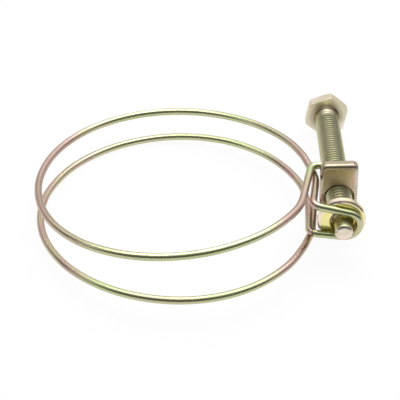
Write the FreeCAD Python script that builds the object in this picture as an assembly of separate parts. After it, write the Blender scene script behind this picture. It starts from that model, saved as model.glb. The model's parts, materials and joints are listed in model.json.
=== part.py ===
import FreeCAD, Part
import math
import os

# Double wire hose clamp, lying as it rests on a table.
# One wire makes two rings round the hose. Its middle is a bight in front of the bolt's tip.
# Its two ends are hooks behind a threaded plate. The hex bolt runs through the plate, and its
# shoulder pushes the washer and the bight away from the plate, which draws the rings tight.
# The clamp is drawn with the hose axis along Z and the bolt along Y, its head at +Y.
# It is then tipped about the origin, the middle of the hose passage, until it lies on the table.

# Wire and rings, millimetres and degrees
wire_diameter = 1.7
ring_bore = 60.3
ring_spacing = 8.24
ring_splay = 2.2
splay_heading = -62.0
ring_offset = 1.0
offset_heading = -63.5
strand_gap = 0.15

# The bent rings aren't quite round: an oval swells towards 0 and 180 degrees, an egg towards 0 and 120
upper_oval = -0.07
upper_egg = 0.34
lower_oval = 0.22
lower_egg = -0.27
ring_pieces = 6

# Bolt, an M6 hex screw with a long dog point
bolt_diameter = 6.0
bolt_length = 50.0
head_across_flats = 9.8
head_height = 3.0
head_chamfer = 0.55
head_chamfer_in = 0.2
head_chamfer_out = 0.1
head_turn = 20.0
neck_length = 0.9
neck_diameter = 5.4
neck_fillet = 0.3
thread_pitch = 1.0
thread_depth = 0.6
thread_crest = 0.14
thread_root = 0.2
dog_diameter = 4.0
dog_length = 6.0
dog_chamfer = 0.5

# Threaded plate
plate_width = 8.6
plate_height = 17.6
plate_thickness = 2.3
plate_corner = 1.4
plate_front_edge = 0.9
plate_back_edge = 0.3
plate_hole_chamfer = 0.6
drill_past = 1.0
plate_turn = -1.5
thread_clearance = 0.05

# Pressure washer
washer_diameter = 10.8
washer_thickness = 1.8
washer_hole_play = 0.5
washer_edge = 0.35
washer_hole_chamfer = 0.25
washer_shift_x = -0.2
washer_shift_z = 0.37

# Where the closure sits
bolt_drop = 1.1
plate_front_y = -0.3
plate_side_gap = 0.25
washer_travel = 7.75
seat_gap = 0.04

# Wire at the closure. Each strand leaves its ring at an angle and runs straight for a while.
upper_hook_leave = -28.0
upper_hook_run = 2.4
upper_bight_leave = 20.0
upper_bight_run = 3.0
lower_bight_leave = 24.0
lower_bight_run = 2.6
lower_hook_leave = -28.0
lower_hook_run = 2.5

# How far each bend stands outside the rings' own radius, and above or below their middle planes
upper_hook_out = 0.15
upper_hook_rise = 1.63
upper_knee_out = 1.25
upper_corner_out = -0.35
upper_corner_rise = 0.1
lower_hook_out = 1.15
lower_hook_rise = 1.78
lower_cross_out = 0.1
lower_cross_rise = 1.13
lower_knee_out = -0.2
lower_corner_out = -0.8
knee_y = 0.9
cross_y = -7.6

corner_radius = 1.7
ease_radius = 14.0
upper_hook_ease = 16.0
bight_play = 0.35
bight_reach = 0.5
bight_rise = 0.1
hook_reach = 2.7

# Worked out sizes
wire_radius = wire_diameter / 2
ring_radius = ring_bore / 2 + wire_radius
bolt_radius = bolt_diameter / 2
bight_radius = dog_diameter / 2 + bight_play + wire_radius
washer_hole = dog_diameter + 2 * washer_hole_play
bolt_x = ring_radius + lower_hook_out + wire_radius + plate_side_gap + plate_width / 2
bolt_z = -bolt_drop
plate_back_y = plate_front_y + plate_thickness
hook_y = plate_back_y + seat_gap + wire_radius
washer_back_y = plate_front_y - washer_travel
washer_front_y = washer_back_y - washer_thickness
bight_y = washer_front_y - seat_gap - wire_radius
shoulder_y = washer_back_y + seat_gap
tip_y = shoulder_y - dog_length
bearing_y = tip_y + bolt_length


def vec(x, y, z):
    return FreeCAD.Vector(x, y, z)


def heading(degrees):
    # Unit vector in the plan view.
    turn = math.radians(degrees)
    return vec(math.cos(turn), math.sin(turn), 0)


class Ring:
    # One turn of the wire: a circle whose plane rises towards the splay heading.

    def __init__(self, side, oval, egg):
        self.oval = oval
        self.egg = egg
        self.centre = heading(offset_heading) * (-side * ring_offset)
        self.centre.z = side * ring_spacing / 2
        towards = heading(splay_heading)
        hinge = vec(towards.y, -towards.x, 0)
        self.tilt = FreeCAD.Rotation(hinge, side * ring_splay)

    def point(self, angle):
        turn = math.radians(angle)
        radius = ring_radius + self.oval * math.cos(2 * turn) + self.egg * math.cos(3 * turn)
        return self.centre + self.tilt.multVec(heading(angle)) * radius

    def tangent(self, angle, sense):
        # sense 1 runs with rising angle, -1 against it
        step = 0.01
        return (self.point(angle + step) - self.point(angle - step)).normalize() * sense

    def leave(self, angle, sense, run):
        # A point on the straight that leaves the ring at this angle.
        return self.point(angle) + self.tangent(angle, sense) * run

    def sweep(self, first, last):
        # Smooth curves round the ring between two angles, tangent to each other.
        sense = 1 if last > first else -1
        edges = []
        for piece in range(ring_pieces):
            start = first + (last - first) * piece / ring_pieces
            end = first + (last - first) * (piece + 1) / ring_pieces
            points = [self.point(start + (end - start) * step / 4) for step in range(5)]
            curve = Part.BSplineCurve()
            curve.interpolate(Points=points, InitialTangent=self.tangent(start, sense),
                              FinalTangent=self.tangent(end, sense))
            edges.append(curve.toShape())
        return edges


def bend(before, corner, after, radius):
    # The tangent arc that rounds one corner of the wire.
    back = (before - corner).normalize()
    ahead = (after - corner).normalize()
    half_angle = back.getAngle(ahead) / 2
    reach = radius / math.tan(half_angle)
    bisector = (back + ahead).normalize()
    centre = corner + bisector * (radius / math.sin(half_angle))
    start = corner + back * reach
    end = corner + ahead * reach
    crown = centre - bisector * radius
    return start, crown, end


def bent_run(points, radii):
    # Straight runs between the points, with a tangent arc at each inner one.
    edges = []
    here = points[0]
    for index, radius in enumerate(radii, start=1):
        start, crown, end = bend(points[index - 1], points[index], points[index + 1], radius)
        edges.append(Part.LineSegment(here, start).toShape())
        edges.append(Part.Arc(start, crown, end).toShape())
        here = end
    edges.append(Part.LineSegment(here, points[-1]).toShape())
    return edges


def tangent_point(outside, centre, radius, side):
    # Where a straight from outside meets a circle in the bight's plane.
    across = outside - centre
    base = math.atan2(across.z, across.x)
    swing = math.acos(radius / across.Length)
    angle = base - side * swing
    return centre + vec(math.cos(angle), 0, math.sin(angle)) * radius


def wire_path():
    upper = Ring(1, upper_oval, upper_egg)
    lower = Ring(-1, lower_oval, lower_egg)
    half_gap = ring_spacing / 2
    nest = wire_diameter + strand_gap

    # Hook strands: the upper one runs inside and above, the lower one outside and below.
    upper_hook = vec(ring_radius + upper_hook_out, hook_y, half_gap + upper_hook_rise)
    lower_hook = vec(ring_radius + lower_hook_out, hook_y, -half_gap - lower_hook_rise)
    lower_cross = vec(ring_radius + lower_cross_out, cross_y, -half_gap - lower_cross_rise)
    upper_end = vec(bolt_x + hook_reach, hook_y, upper_hook.z)
    lower_end = vec(bolt_x + hook_reach, hook_y, lower_hook.z)

    # Bight strands, nested between the two hook strands.
    upper_knee = vec(ring_radius + upper_knee_out, knee_y, upper_hook.z - nest - strand_gap)
    upper_corner = vec(ring_radius + upper_corner_out, bight_y, half_gap + upper_corner_rise)
    lower_corner = vec(ring_radius + lower_corner_out, bight_y, lower_cross.z + nest + strand_gap)
    lower_knee = vec(ring_radius + lower_knee_out, knee_y, lower_hook.z + nest + strand_gap)

    loop_centre = vec(bolt_x + bight_reach, bight_y, bolt_z + bight_rise)
    loop_start = tangent_point(upper_corner, loop_centre, bight_radius, 1)
    loop_end = tangent_point(lower_corner, loop_centre, bight_radius, -1)
    loop_middle = loop_centre + vec(bight_radius, 0, 0)

    edges = bent_run(
        [upper_end, upper_hook, upper.leave(upper_hook_leave, 1, upper_hook_run), upper.point(upper_hook_leave)],
        [corner_radius, upper_hook_ease])
    edges += upper.sweep(upper_hook_leave, upper_bight_leave - 360)
    edges += bent_run(
        [upper.point(upper_bight_leave), upper.leave(upper_bight_leave, -1, upper_bight_run),
         upper_knee, upper_corner, loop_start],
        [ease_radius, ease_radius, corner_radius])
    edges.append(Part.Arc(loop_start, loop_middle, loop_end).toShape())
    edges += bent_run(
        [loop_end, lower_corner, lower_knee,
         lower.leave(lower_bight_leave, -1, lower_bight_run), lower.point(lower_bight_leave)],
        [corner_radius, ease_radius, ease_radius])
    edges += lower.sweep(lower_bight_leave, lower_hook_leave + 360)
    edges += bent_run(
        [lower.point(lower_hook_leave), lower.leave(lower_hook_leave, 1, lower_hook_run),
         lower_cross, lower_hook, lower_end],
        [ease_radius, ease_radius, corner_radius])
    return edges


def build_wire():
    edges = wire_path()
    path = Part.Wire(edges)
    start = edges[0].Vertexes[0].Point
    along = edges[0].tangentAt(edges[0].FirstParameter)
    section = Part.Wire(Part.makeCircle(wire_radius, start, along))
    return path.makePipeShell([section], True, False)


def turned(profile):
    # Revolves a profile of (radius, y) points about the bolt's axis.
    points = [vec(bolt_x + r, y, bolt_z) for r, y in profile]
    face = Part.Face(Part.makePolygon(points + points[:1]))
    return face.revolve(vec(bolt_x, 0, bolt_z), vec(0, 1, 0), 360)


def build_head():
    top_y = bearing_y + head_height
    across_corners = head_across_flats / math.cos(math.radians(30))
    corners = []
    for side in range(7):
        angle = head_turn + 60 * side
        spoke = vec(math.cos(math.radians(angle)), 0, math.sin(math.radians(angle)))
        corners.append(vec(bolt_x, bearing_y, bolt_z) + spoke * (across_corners / 2))
    head = Part.Face(Part.makePolygon(corners)).extrude(vec(0, head_height, 0))
    crown = head_across_flats / 2 - head_chamfer_in
    rim = across_corners / 2 + head_chamfer_out
    barrel = turned([(0, bearing_y), (crown, bearing_y), (rim, bearing_y + head_chamfer),
                     (rim, top_y - head_chamfer), (crown, top_y), (0, top_y)])
    return head.common(barrel)


def thread_profile(start_y, end_y):
    # Grooves at the thread's pitch and depth stand for the helix; the shoulder's edge is bevelled.
    root = bolt_radius - thread_depth
    flank = (thread_pitch - thread_crest - thread_root) / 2
    grooves = int((end_y - start_y) / thread_pitch)
    points = [(root, start_y), (bolt_radius, start_y + flank)]
    for groove in range(1, grooves + 1):
        middle = start_y + groove * thread_pitch
        points += [(bolt_radius, middle - thread_root / 2 - flank), (root, middle - thread_root / 2),
                   (root, middle + thread_root / 2), (bolt_radius, middle + thread_root / 2 + flank)]
    points = [point for point in points if point[1] < end_y - flank]
    return points + [(bolt_radius, end_y - flank), (neck_diameter / 2, end_y)]


def build_bolt():
    dog_radius = dog_diameter / 2
    neck = neck_diameter / 2
    profile = [(0, tip_y), (dog_radius - dog_chamfer, tip_y), (dog_radius, tip_y + dog_chamfer),
               (dog_radius, shoulder_y)]
    profile += thread_profile(shoulder_y, bearing_y - neck_length)
    profile += [(neck, bearing_y - neck_fillet), (neck + neck_fillet, bearing_y), (0, bearing_y)]
    return build_head().fuse(turned(profile)).removeSplitter()


def edges_near(shape, test):
    return [edge for edge in shape.Edges if test(edge)]


def all_points_at(edge, y):
    return all(abs(vertex.Y - y) < 1e-6 for vertex in edge.Vertexes)


def build_plate():
    corner = vec(bolt_x - plate_width / 2, plate_front_y, bolt_z - plate_height / 2)
    blank = Part.makeBox(plate_width, plate_thickness, plate_height, corner)
    uprights = edges_near(blank, lambda edge: abs(edge.BoundBox.YLength - plate_thickness) < 1e-6)
    blank = blank.makeFillet(plate_corner, uprights)
    front = edges_near(blank, lambda edge: all_points_at(edge, plate_front_y))
    blank = blank.makeFillet(plate_front_edge, front)
    back = edges_near(blank, lambda edge: all_points_at(edge, plate_back_y))
    blank = blank.makeFillet(plate_back_edge, back)
    hole = bolt_radius + thread_clearance
    mouth = hole + plate_hole_chamfer
    wide = mouth + drill_past
    start_y = plate_front_y - drill_past
    end_y = plate_back_y + drill_past
    drill = turned([(0, start_y), (wide, start_y), (hole, plate_front_y + plate_hole_chamfer),
                    (hole, plate_back_y - plate_hole_chamfer), (wide, end_y), (0, end_y)])
    plate = blank.cut(drill)
    plate.rotate(vec(bolt_x, 0, bolt_z), vec(0, 1, 0), plate_turn)
    return plate


def build_washer():
    outer = washer_diameter / 2
    inner = washer_hole / 2
    profile = [(inner, washer_front_y + washer_hole_chamfer), (inner + washer_hole_chamfer, washer_front_y),
               (outer - washer_edge, washer_front_y), (outer, washer_front_y + washer_edge),
               (outer, washer_back_y - washer_edge), (outer - washer_edge, washer_back_y),
               (inner, washer_back_y)]
    washer = turned(profile)
    washer.translate(vec(washer_shift_x, 0, washer_shift_z))
    return washer


def lowest(points, up):
    return min(points, key=lambda point: point.dot(up))


def resting_turn(pieces):
    # The clamp lies on three pieces: the lower ring, the plate's foot and the bolt's head.
    feet = [pieces[name].tessellate(0.02)[0] for name in ("wire", "thread_plate", "bolt")]
    up = vec(0, 0, 1)
    for _ in range(20):
        ring_foot, plate_foot, head_foot = [lowest(points, up) for points in feet]
        up = (plate_foot - ring_foot).cross(head_foot - ring_foot).normalize()
    return FreeCAD.Rotation(up, vec(0, 0, 1))


def build_pieces():
    pieces = {
        "wire": build_wire(),
        "bolt": build_bolt(),
        "thread_plate": build_plate(),
        "pressure_washer": build_washer(),
    }
    turn = resting_turn(pieces)
    for shape in pieces.values():
        shape.Placement = FreeCAD.Placement(vec(0, 0, 0), turn) * shape.Placement
    return pieces, turn


def main():
    pieces, turn = build_pieces()
    os.makedirs("parts", exist_ok=True)
    for name, shape in pieces.items():
        shape.exportStep(f"parts/{name}.step")
        print(name, "valid", shape.isValid(), "volume", round(shape.Volume, 2))
    print("wire length", round(sum(edge.Length for edge in wire_path()), 1))
    print("tipped by", round(math.degrees(turn.Angle), 2), "degrees")


main()
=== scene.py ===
import json
import math

import bmesh
import bpy
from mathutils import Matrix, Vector


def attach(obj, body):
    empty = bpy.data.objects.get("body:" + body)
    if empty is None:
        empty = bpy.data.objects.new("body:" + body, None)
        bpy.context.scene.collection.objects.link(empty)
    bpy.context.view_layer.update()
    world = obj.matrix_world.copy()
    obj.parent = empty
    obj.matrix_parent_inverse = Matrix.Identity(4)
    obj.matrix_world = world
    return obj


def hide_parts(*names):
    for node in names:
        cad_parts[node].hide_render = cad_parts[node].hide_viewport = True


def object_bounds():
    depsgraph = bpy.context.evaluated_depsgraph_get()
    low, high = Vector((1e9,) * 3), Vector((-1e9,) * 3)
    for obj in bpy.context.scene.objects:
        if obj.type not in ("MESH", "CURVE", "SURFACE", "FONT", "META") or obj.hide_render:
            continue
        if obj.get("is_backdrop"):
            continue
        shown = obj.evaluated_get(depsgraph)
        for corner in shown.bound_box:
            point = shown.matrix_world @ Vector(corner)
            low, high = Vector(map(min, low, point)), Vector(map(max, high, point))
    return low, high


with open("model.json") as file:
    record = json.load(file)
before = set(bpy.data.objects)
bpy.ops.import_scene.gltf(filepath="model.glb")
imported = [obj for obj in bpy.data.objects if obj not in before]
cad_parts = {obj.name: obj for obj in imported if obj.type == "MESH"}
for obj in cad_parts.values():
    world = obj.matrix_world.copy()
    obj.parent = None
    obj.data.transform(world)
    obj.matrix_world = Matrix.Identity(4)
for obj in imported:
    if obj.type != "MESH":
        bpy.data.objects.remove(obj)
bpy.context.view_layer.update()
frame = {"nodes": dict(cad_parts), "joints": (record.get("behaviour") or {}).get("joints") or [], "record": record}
mm = 0.001
spin = next(joint for joint in frame["joints"] if joint["name"] == "bolt_spin")
hose = next(mount for mount in frame["record"]["mounts"] if mount["name"] == "hose_seat")

# where the noises of the zinc films start and end to count, the same on every piece
zincNoise = {
    "green": (0.38, 0.62), "filmDetail": 3.0, "blushWidth": 0.22, "blushDetail": 2.0,
    "speck": (0.56, 0.74), "speckDetail": 4.0, "grainDetail": 5.0, "roughness": 0.55,
}


def addNode(tree, kind, **sockets):
    node = tree.nodes.new(kind)
    for name, value in sockets.items():
        node.inputs[name].default_value = value
    return node


def colourMix(tree, amount, first, second):
    # amount 0 gives first, 1 gives second; each of these two is a colour or a socket
    mix = tree.nodes.new("ShaderNodeMix")
    mix.data_type = "RGBA"
    tree.links.new(amount, mix.inputs[0])
    for index, value in ((6, first), (7, second)):  # the node's colours A and B
        if isinstance(value, tuple):
            mix.inputs[index].default_value = value + (1.0,)
        else:
            tree.links.new(value, mix.inputs[index])
    return mix.outputs[2]


def ramp(tree, value, low, high):
    # stretches low..high to 0..1 and clamps; low may be the greater one
    node = tree.nodes.new("ShaderNodeMapRange")
    node.interpolation_type = "SMOOTHSTEP"
    node.inputs["From Min"].default_value = low
    node.inputs["From Max"].default_value = high
    tree.links.new(value, node.inputs["Value"])
    return node.outputs["Result"]


def cloud(tree, where, size, detail):
    # noise whose blotches are about size metres across
    noise = addNode(tree, "ShaderNodeTexNoise", Scale=1 / size, Detail=detail, Roughness=zincNoise["roughness"])
    tree.links.new(where, noise.inputs["Vector"])
    return noise.outputs["Fac"]


def maths(tree, operation, first, second):
    node = tree.nodes.new("ShaderNodeMath")
    node.operation = operation
    for index, value in enumerate((first, second)):
        if isinstance(value, (int, float)):
            node.inputs[index].default_value = value
        else:
            tree.links.new(value, node.inputs[index])
    return node.outputs[0]


def vectorMaths(tree, operation, first, second=None):
    node = tree.nodes.new("ShaderNodeVectorMath")
    node.operation = operation
    tree.links.new(first, node.inputs[0])
    if second is not None:
        node.inputs[1].default_value = second
    return node


def splitXYZ(tree, where):
    split = tree.nodes.new("ShaderNodeSeparateXYZ")
    tree.links.new(where, split.inputs[0])
    return split.outputs


def offAxis(tree, where, middle):
    # distance from a line through middle along the bolt
    fromMiddle = vectorMaths(tree, "SUBTRACT", where, middle).outputs[0]
    across = vectorMaths(tree, "CROSS_PRODUCT", fromMiddle, spin["axis"]).outputs[0]
    return vectorMaths(tree, "LENGTH", across).outputs["Value"]


def yellowZinc(name, look, pinkFilmAndSheenWhere, paintedShadeWhere=None):
    # chromated zinc: a greenish yellow film that turns pink and brown in places, by noise and where the piece's
    # own masks say; on the wire the pink mask is partly a painted sheen, and on the bolt and the plate the
    # darkening mask is a painted shade
    material = bpy.data.materials.new(name)
    material.use_nodes = True
    tree = material.node_tree
    shader = tree.nodes["Principled BSDF"]
    where = tree.nodes.new("ShaderNodeTexCoord").outputs["Object"]

    film = cloud(tree, where, look["filmSize"], zincNoise["filmDetail"])
    green = ramp(tree, film, *zincNoise["green"])
    colour = colourMix(tree, green, look["straw"], look["green"])
    blotch = cloud(tree, where, look["blushSize"], zincNoise["blushDetail"])
    blush = ramp(tree, blotch, look["blushFrom"], look["blushFrom"] + zincNoise["blushWidth"])
    blush = maths(tree, "ADD", blush, look["blushBase"])
    blush = maths(tree, "MULTIPLY", blush, pinkFilmAndSheenWhere(tree, where, look))
    blush = maths(tree, "MULTIPLY", blush, look["blush"])
    colour = colourMix(tree, blush, colour, look["pink"])
    speck = ramp(tree, cloud(tree, where, look["speckSize"], zincNoise["speckDetail"]), *zincNoise["speck"])
    brown = maths(tree, "MULTIPLY", speck, look["speck"])
    # painted shade: the piece's darkening mask joins the real brown specks here
    if paintedShadeWhere:
        brown = maths(tree, "MAXIMUM", brown, paintedShadeWhere(tree, where, look))
    colour = colourMix(tree, brown, colour, look["brown"])
    tree.links.new(colour, shader.inputs["Base Color"])

    grain = cloud(tree, where, look["grainSize"], zincNoise["grainDetail"])
    rough = tree.nodes.new("ShaderNodeMapRange")
    rough.inputs["To Min"].default_value = look["rough"][0]
    rough.inputs["To Max"].default_value = look["rough"][1]
    tree.links.new(grain, rough.inputs["Value"])
    tree.links.new(rough.outputs["Result"], shader.inputs["Roughness"])
    bump = addNode(tree, "ShaderNodeBump", Strength=look["bump"], Distance=look["bumpDepth"])
    tree.links.new(grain, bump.inputs["Height"])
    tree.links.new(bump.outputs["Normal"], shader.inputs["Normal"])

    shader.inputs["Metallic"].default_value = 1.0
    shader.inputs["Specular Tint"].default_value = look["edge"] + (1.0,)
    return material


def finishNode(name, material):
    node = frame["nodes"][name]
    for slot in node.material_slots:
        slot.material = material
    if not node.material_slots:
        node.data.materials.append(material)


# the wire; a zone's two places are where it starts and where it is full
wireFinish = {
    "straw": (0.57, 0.54, 0.34), "green": (0.50, 0.55, 0.30), "pink": (0.53, 0.385, 0.33),
    "brown": (0.22, 0.17, 0.09), "edge": (0.95, 0.92, 0.84),
    "filmSize": 0.012, "blushSize": 0.016, "blushFrom": 0.36, "blush": 0.9,
    # the left and right zones on the next line place the pink sheen painted on the rings' sides
    "blushBase": 0.5, "leftSheenFrom": (-0.015, -0.027), "rightFrom": (0.018, 0.027), "hooksFrom": (0.0325, 0.0335),
    "bightFrom": (-0.0085, -0.0105), "bightBeside": (0.0305, 0.0315),
    "strandFrom": (-0.012, 0.004), "strandAbove": (0.0070, 0.0076),
    "speckSize": 0.0009, "speck": 0.16,
    "grainSize": 0.0005, "rough": (0.18, 0.31), "bump": 0.15, "bumpDepth": 0.00003,
}


def pinkSheenSides(tree, where, look):
    # painted sheen: the rings are pinker on the left and right, a tint that comes with the angle the wire is seen
    # at, painted here by place over the film's real blotches; the bight and the hooks stay yellow
    x, y, z = splitXYZ(tree, where)
    left = ramp(tree, x, *look["leftSheenFrom"])
    right = ramp(tree, x, *look["rightFrom"])
    hooks = ramp(tree, x, *look["hooksFrom"])
    bight = maths(tree, "MULTIPLY", ramp(tree, y, *look["bightFrom"]), ramp(tree, x, *look["bightBeside"]))
    strand = maths(tree, "MULTIPLY", ramp(tree, y, *look["strandFrom"]), ramp(tree, z, *look["strandAbove"]))
    yellow = maths(tree, "MAXIMUM", maths(tree, "MAXIMUM", hooks, bight), strand)
    right = maths(tree, "MULTIPLY", right, maths(tree, "SUBTRACT", 1, yellow))
    return maths(tree, "ADD", left, right)


finishNode("wire", yellowZinc("wireZinc", wireFinish, pinkSheenSides))
print("wire finished")


# the bolt, with its thread cut as mesh
boltSize = {
    # millimetres; places along the axis count from where the plate sits, the head is at +
    "tip": -14.01, "shoulder": -8.01, "bearing": 35.99,
    # radii of the shank, the thread's root and the bare end under the head, then its cone
    "shank": 3.0, "root": 2.48, "runout": 2.7, "neck": 1.8, "neckTop": 3.1, "neckRounding": 0.4,
    # crest and flank are shares of half a pitch, the lead-in is its slope at the shoulder
    "pitch": 1.0, "pointsPerTurn": 10, "crest": 0.28, "flank": 0.56, "fade": 1.2, "fadePower": 0.7, "leadIn": 1.1,
    # the dog's radius, then its edge and its foot as (out from its side, back from the tip or the shoulder)
    "dog": 2.0, "dogEdge": ((-0.65, 0.0), (-0.56, 0.01), (-0.48, 0.05), (-0.06, 0.42), (-0.015, 0.49), (0.0, 0.6)),
    "dogFoot": ((0.0, -0.15), (0.04, -0.05), (0.15, 0.0)), "dogRings": 12, "rootEdge": 0.05,
    "acrossFlats": 9.8, "headHigh": 3.0, "headTurn": 20.0, "cornerRound": 0.28,
    # the cone cut off the top's corners, and where the rings up the head's sides lie
    "topSlope": 0.5, "topCircle": 0.2, "sideUp": (0.02, 0.3, 0.6), "sideDown": (1.6, 0.8, 0.3, 0.08),
    # rings across its two faces, as radii and as shares of the way out to the corners
    "underCircles": (4.0, 4.6), "underShares": (0, 0.98), "topShares": (0.94, 0.5, 0),
    "topCircles": (4.55, 3.4, 1.8, 0.0),
    # degrees from a corner of the head, closer together at the rounding
    "columns": (-1.5, -0.75, 0, 0.75, 1.5, 6, 12, 18, 24, 30, 36, 42, 48, 54),
    "weld": 0.002, "sharpFrom": 38,
}
boltFinish = {
    "straw": (0.66, 0.62, 0.42), "green": (0.60, 0.61, 0.39), "pink": (0.86, 0.74, 0.64),
    "brown": (0.20, 0.14, 0.07), "edge": (0.95, 0.90, 0.80),
    "filmSize": 0.012, "blushSize": 0.005, "blushFrom": 0.42, "blush": 0.9,
    "blushBase": 0.45, "headFrom": (0.0345, 0.0355), "tipFrom": (-0.0132, -0.0137),
    # the last two on the next line place and weigh the painted shade round the shank under the head
    "frontFrom": (-0.0005, -0.002), "front": 0.45, "neckShadeFrom": (0.0049, 0.0031), "neck": 0.65,
    "speckSize": 0.0007, "speck": 0.12,
    "grainSize": 0.0004, "rough": (0.28, 0.38), "bump": 0.15, "bumpDepth": 0.00003,
}


def pinkEnds(tree, where, look):
    # the head and the face of the tip are cream and pink, the part in front of the plate is paler
    y = splitXYZ(tree, where)["Y"]
    head = ramp(tree, y, *look["headFrom"])
    tip = ramp(tree, y, *look["tipFrom"])
    front = maths(tree, "MULTIPLY", ramp(tree, y, *look["frontFrom"]), look["front"])
    return maths(tree, "ADD", head, maths(tree, "MAXIMUM", tip, front))


def paintedNeckShade(tree, where, look):
    # painted shade: the head's underside is browner towards the shank, standing in for the shank's shadow and its
    # reflection on that face
    under = ramp(tree, splitXYZ(tree, where)["Y"], *look["headFrom"])
    around = ramp(tree, offAxis(tree, where, spin["pos_m"]), *look["neckShadeFrom"])
    return maths(tree, "MULTIPLY", maths(tree, "MULTIPLY", under, around), look["neck"])


def hexRadius(size, angle):
    # outline of a hexagon with rounded corners
    inner, rounding = size["acrossFlats"] / 2, size["cornerRound"]
    flat, halfFlat = math.radians(60), math.radians(30)
    offCorner = (angle - math.radians(size["headTurn"])) % flat
    offCorner = min(offCorner, flat - offCorner)
    centre = (inner - rounding) / math.cos(halfFlat)
    if offCorner < math.atan2(rounding * math.sin(halfFlat), centre + rounding * math.cos(halfFlat)):
        return centre * math.cos(offCorner) + math.sqrt(rounding ** 2 - (centre * math.sin(offCorner)) ** 2)
    return inner / math.cos(halfFlat - offCorner)


def dogRings(size):
    # (radius, place) from the middle of the tip's face to the shoulder
    tip, shoulder, dog = size["tip"], size["shoulder"], size["dog"]
    edge = [(dog + out, tip + back) for out, back in size["dogEdge"]]
    foot = [(dog + out, shoulder + back) for out, back in size["dogFoot"]]
    start, end = edge[-1][1], foot[0][1]
    face = [(dog * share, tip) for share in (0, 0.25, 0.5)]
    side = [(dog, start + (end - start) * step / size["dogRings"]) for step in range(1, size["dogRings"])]
    return face + edge + side + foot + [(size["root"] - size["rootEdge"], shoulder)]


def headRings(size):
    # (radius, place) from the end of the thread round the head to the middle of its top
    bearing, inner = size["bearing"], size["acrossFlats"] / 2 - size["topCircle"]
    top, slope = bearing + size["headHigh"], size["topSlope"]

    def towardsCorner(share, level, slope):
        # from the circle inside the flats (0) out to the hexagon (1)
        def ring(angle):
            out = (hexRadius(size, angle) - inner) * share
            return inner + out, level + slope * out
        return ring

    def onSide(level, slope):
        def ring(angle):
            outline = hexRadius(size, angle)
            return outline, level + slope * (outline - inner)
        return ring

    # a slender cone up to the rounding under the head
    start, cone, rounding = bearing - size["neck"], bearing - size["neckRounding"], size["neckRounding"]
    rings = []
    for share in (0, 0.2, 0.4, 0.6, 0.8):
        rings.append((size["runout"] + (size["neckTop"] - size["runout"]) * share, start + (cone - start) * share))
    for degrees in (0, 18, 36, 54, 72, 90):
        turn = math.radians(degrees)
        rings.append((size["neckTop"] + rounding * (1 - math.cos(turn)), cone + rounding * math.sin(turn)))
    rings += [(radius, bearing) for radius in size["underCircles"]]
    rings += [towardsCorner(share, bearing, 0) for share in size["underShares"]]
    rings += [onSide(bearing + up, 0) for up in size["sideUp"]]
    rings += [onSide(top - down, -slope) for down in size["sideDown"]]
    rings += [towardsCorner(share, top, -slope) for share in size["topShares"]]
    rings += [(radius, top) for radius in size["topCircles"]]
    return rings


def threadPoint(size, row, angle):
    # flat crest, straight flanks and flat root, right-handed
    start, end = size["shoulder"], size["bearing"] - size["neck"]
    along = start + size["pitch"] * (row / size["pointsPerTurn"] - angle / (2 * math.pi))
    along = min(max(along, start), end)
    away = abs((row % size["pointsPerTurn"]) / size["pointsPerTurn"] - 0.5) * 2
    depth = min(max((away - size["crest"]) / size["flank"], 0.0), 1.0)
    radius = size["shank"] + (size["root"] - size["shank"]) * depth
    fade = max(0.0, 1 - (end - along) / size["fade"]) ** size["fadePower"]
    radius += (size["runout"] - radius) * fade
    bevel = size["root"] - size["rootEdge"] + (along - start) * size["leadIn"]
    return min(radius, bevel), along


def boltMesh(size, place, axis, up):
    side = axis.cross(up).normalized()
    up = side.cross(axis).normalized()
    angles = [math.radians(size["headTurn"] + 60 * k + offset) for k in range(6) for offset in size["columns"]]
    around = len(angles)
    points, faces = [], []

    def addPoint(radius, along, angle):
        # side and up span the CAD's X and Z, so the corners match the solid's
        spoke = side * math.cos(angle) + up * math.sin(angle)
        points.append(place + (axis * along + spoke * radius) * mm)

    for rings in (dogRings(size), headRings(size)):
        first = len(points)
        for ring in rings:
            for angle in angles:
                radius, along = ring(angle) if callable(ring) else ring
                addPoint(radius, along, angle)
        for row in range(len(rings) - 1):
            for column in range(around):
                a = first + row * around + column
                b = first + row * around + (column + 1) % around
                faces.append((a, b, b + around, a + around))

    # the thread is one long strip, each turn joined to the one before
    first, perTurn = len(points), size["pointsPerTurn"]
    length = size["bearing"] - size["neck"] - size["shoulder"]
    rows = int((length / size["pitch"] + 2) * perTurn)
    for row in range(rows):
        for angle in angles:
            radius, along = threadPoint(size, row, angle - angles[0])
            addPoint(radius, along, angle)
    for row in range(rows - 1):
        for column in range(around):
            a = first + row * around + column
            if column + 1 < around:
                b = a + 1
            elif row >= perTurn:
                b = first + (row - perTurn) * around
            else:
                continue
            faces.append((a, b, b + around, a + around))

    mesh = bpy.data.meshes.new("bolt")
    mesh.from_pydata(points, [], faces)
    work = bmesh.new()
    work.from_mesh(mesh)
    bmesh.ops.remove_doubles(work, verts=work.verts, dist=size["weld"] * mm)
    bmesh.ops.dissolve_degenerate(work, edges=work.edges, dist=size["weld"] / 4 * mm)
    bmesh.ops.recalc_face_normals(work, faces=work.faces)
    work.to_mesh(mesh)
    work.free()
    for face in mesh.polygons:
        face.use_smooth = True
    mesh.set_sharp_from_angle(angle=math.radians(size["sharpFrom"]))
    return mesh


threadedMesh = boltMesh(boltSize, Vector(spin["pos_m"]), Vector(spin["axis"]).normalized(), Vector(hose["axis"]))
threadedMesh.materials.append(yellowZinc("boltZinc", boltFinish, pinkEnds, paintedNeckShade))
bolt = bpy.data.objects.new("threadedBolt", threadedMesh)
bpy.context.scene.collection.objects.link(bolt)
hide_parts("bolt")
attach(bolt, "bolt")
print("bolt threaded,", len(bolt.data.polygons), "faces")


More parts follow.
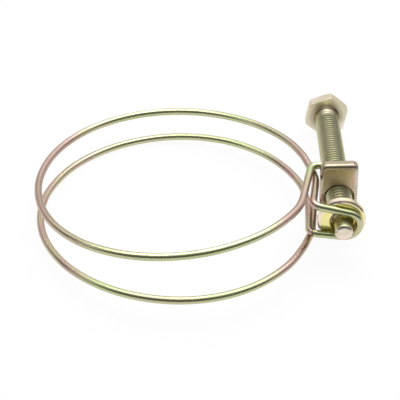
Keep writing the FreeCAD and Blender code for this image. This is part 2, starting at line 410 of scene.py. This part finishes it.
# the threaded plate
plateFinish = {
    "straw": (0.55, 0.47, 0.36), "green": (0.47, 0.44, 0.31), "pink": (0.67, 0.53, 0.46),
    "brown": (0.20, 0.14, 0.08), "edge": (0.92, 0.86, 0.78),
    "filmSize": 0.005, "blushSize": 0.006, "blushFrom": 0.42, "blush": 0.8,
    # the last two on the next line place and weigh the painted shade along the plate's upper edge
    "blushBase": 0.35, "rightFrom": (0.0385, 0.0410), "everywhere": 0.35, "topShadeFrom": (0.0090, 0.0102), "top": 0.42,
    "speckSize": 0.0008, "speck": 0.2,
    "grainSize": 0.0006, "rough": (0.24, 0.36), "bump": 0.10, "bumpDepth": 0.00003,
}


def pinkRight(tree, where, look):
    # the film turns pink towards the plate's outer edge, with a trace of it everywhere
    return maths(tree, "ADD", ramp(tree, splitXYZ(tree, where)["X"], *look["rightFrom"]), look["everywhere"])


def paintedTopShade(tree, where, look):
    # painted shade: the plate's upper edge is darkened, holding down the highlight that its rounded front edge
    # would catch
    return maths(tree, "MULTIPLY", ramp(tree, splitXYZ(tree, where)["Z"], *look["topShadeFrom"]), look["top"])


finishNode("thread_plate", yellowZinc("plateZinc", plateFinish, pinkRight, paintedTopShade))
print("plate finished")


# the pressure washer
washerFinish = {
    "straw": (0.93, 0.83, 0.38), "green": (0.84, 0.77, 0.33), "pink": (0.90, 0.76, 0.66),
    "brown": (0.26, 0.17, 0.07), "edge": (0.97, 0.93, 0.84),
    "filmSize": 0.004, "blushSize": 0.004, "blushFrom": 0.40, "blush": 0.9,
    "blushBase": 0.6, "offCentre": (-0.00023, 0, 0.00035), "rimFrom": (0.0045, 0.0050),
    "speckSize": 0.0006, "speck": 0.15,
    "grainSize": 0.0004, "rough": (0.16, 0.28), "bump": 0.2, "bumpDepth": 0.00003,
}


def pinkRim(tree, where, look):
    # the face is yellow and the rim pink; the washer sits a little off the bolt's axis
    middle = Vector(spin["pos_m"]) + Vector(look["offCentre"])
    return ramp(tree, offAxis(tree, where, middle), *look["rimFrom"])


finishNode("pressure_washer", yellowZinc("washerZinc", washerFinish, pinkRim))
print("washer finished")


# floor, light and camera
studio = {
    "floorWhite": 0.9, "floorGlow": 0.94, "floorMirrored": 0.85, "floorSize": 3.0,
    "skyMirrored": 0.1, "skyFront": 0.045, "backLow": 0.44, "backHigh": 0.94,
    "backFrom": 0.05, "backTo": 0.65, "backRise": 0.65,
    "overhead": 1.28, "overheadAim": (0.08, 0.42, 0.90), "overheadFrom": 0.52, "overheadTo": 0.88,
    "core": 3.55, "coreFrom": 0.91, "coreTo": 0.97,
}
lamps = {
    "topSoftbox": {"place": (-0.05, 0.12, 0.42), "aim": (0, 0, 0), "size": (0.5, 0.22), "watts": 0.6},
    "leftSoftbox": {"place": (-0.42, -0.12, 0.22), "aim": (0, 0, 0), "size": (0.2, 0.3), "watts": 0.12},
    "rightSoftbox": {"place": (0.40, 0.0, 0.26), "aim": (0.02, 0, 0), "size": (0.2, 0.3), "watts": 0.08},
}
photoCamera = {
    "place": (-0.000322, -0.191092, 0.161146), "turn": (49.53, -3.481, 1.13),
    "lens": 97.82, "film": 36, "clip": (0.01, 20),
}


def seenWhite(tree, surface, white, seen, mirrored):
    # seen is the share of white before the camera, mirrored the share in what the metal reflects
    rays = tree.nodes.new("ShaderNodeLightPath")
    straight = maths(tree, "MAXIMUM", rays.outputs["Is Camera Ray"], rays.outputs["Is Transmission Ray"])
    straight = maths(tree, "MULTIPLY", straight, seen)
    glossy = maths(tree, "MULTIPLY", rays.outputs["Is Glossy Ray"], mirrored)
    mix = tree.nodes.new("ShaderNodeMixShader")
    tree.links.new(maths(tree, "MAXIMUM", straight, glossy), mix.inputs[0])
    tree.links.new(surface, mix.inputs[1])
    tree.links.new(white, mix.inputs[2])
    return mix.outputs[0]


def buildFloor(look):
    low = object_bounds()[0].z
    half = look["floorSize"] / 2
    mesh = bpy.data.meshes.new("floor")
    corners = [(-half, -half, low), (half, -half, low), (half, half, low), (-half, half, low)]
    mesh.from_pydata(corners, [], [(0, 1, 2, 3)])
    floor = bpy.data.objects.new("floor", mesh)
    bpy.context.scene.collection.objects.link(floor)
    material = bpy.data.materials.new("whiteTable")
    material.use_nodes = True
    tree = material.node_tree
    tree.nodes.remove(tree.nodes["Principled BSDF"])
    white = look["floorWhite"]
    paper = addNode(tree, "ShaderNodeBsdfDiffuse", Color=(white, white, white, 1))
    glow = addNode(tree, "ShaderNodeEmission", Color=(1, 1, 1, 1), Strength=1.0)
    # not all white, so that the clamp's shadow stays
    out = seenWhite(tree, paper.outputs[0], glow.outputs[0], look["floorGlow"], look["floorMirrored"])
    tree.links.new(out, tree.nodes["Material Output"].inputs["Surface"])
    mesh.materials.append(material)
    floor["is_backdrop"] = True


def buildSky(look):
    world = bpy.data.worlds.new("studioSky")
    world.use_nodes = True
    bpy.context.scene.world = world
    tree = world.node_tree
    way = tree.nodes.new("ShaderNodeTexCoord").outputs["Generated"]
    # a dim side towards the camera, a lighter wall behind that brightens upwards
    parts = splitXYZ(tree, way)
    behind = ramp(tree, parts["Y"], look["backFrom"], look["backTo"])
    rise = ramp(tree, parts["Z"], 0.0, look["backRise"])
    back = colourMix(tree, rise, (look["backLow"],) * 3, (look["backHigh"],) * 3)
    walls = colourMix(tree, behind, (look["skyFront"],) * 3, back)
    # a wide soft light over the clamp, a little behind it, brighter in its middle
    near = vectorMaths(tree, "DOT_PRODUCT", way, look["overheadAim"]).outputs["Value"]
    above = ramp(tree, near, look["overheadFrom"], look["overheadTo"])
    light = colourMix(tree, above, walls, (look["overhead"],) * 3)
    middle = ramp(tree, near, look["coreFrom"], look["coreTo"])
    light = colourMix(tree, middle, light, (look["core"],) * 3)
    soft = tree.nodes["Background"]
    tree.links.new(light, soft.inputs["Color"])
    white = addNode(tree, "ShaderNodeBackground", Color=(1, 1, 1, 1), Strength=1.0)
    out = seenWhite(tree, soft.outputs[0], white.outputs[0], 1.0, look["skyMirrored"])
    tree.links.new(out, tree.nodes["World Output"].inputs["Surface"])


def hangLamp(name, look):
    lamp = bpy.data.lights.new(name, "AREA")
    lamp.shape = "RECTANGLE"
    lamp.size, lamp.size_y = look["size"]
    lamp.energy = look["watts"]
    holder = bpy.data.objects.new(name, lamp)
    holder.location = look["place"]
    holder.rotation_euler = (Vector(look["aim"]) - Vector(look["place"])).to_track_quat("-Z", "Y").to_euler()
    bpy.context.scene.collection.objects.link(holder)


def setCamera(look):
    lens = bpy.data.cameras.new("photoCamera")
    lens.lens = look["lens"]
    lens.sensor_width = look["film"]
    lens.clip_start, lens.clip_end = look["clip"]
    camera = bpy.data.objects.new("photoCamera", lens)
    camera.location = look["place"]
    camera.rotation_euler = [math.radians(turn) for turn in look["turn"]]
    bpy.context.scene.collection.objects.link(camera)
    bpy.context.scene.camera = camera


setCamera(photoCamera)
buildFloor(studio)
buildSky(studio)
for lampName, lampLook in lamps.items():
    hangLamp(lampName, lampLook)
bpy.context.scene.view_settings.view_transform = "Standard"
print("studio ready")
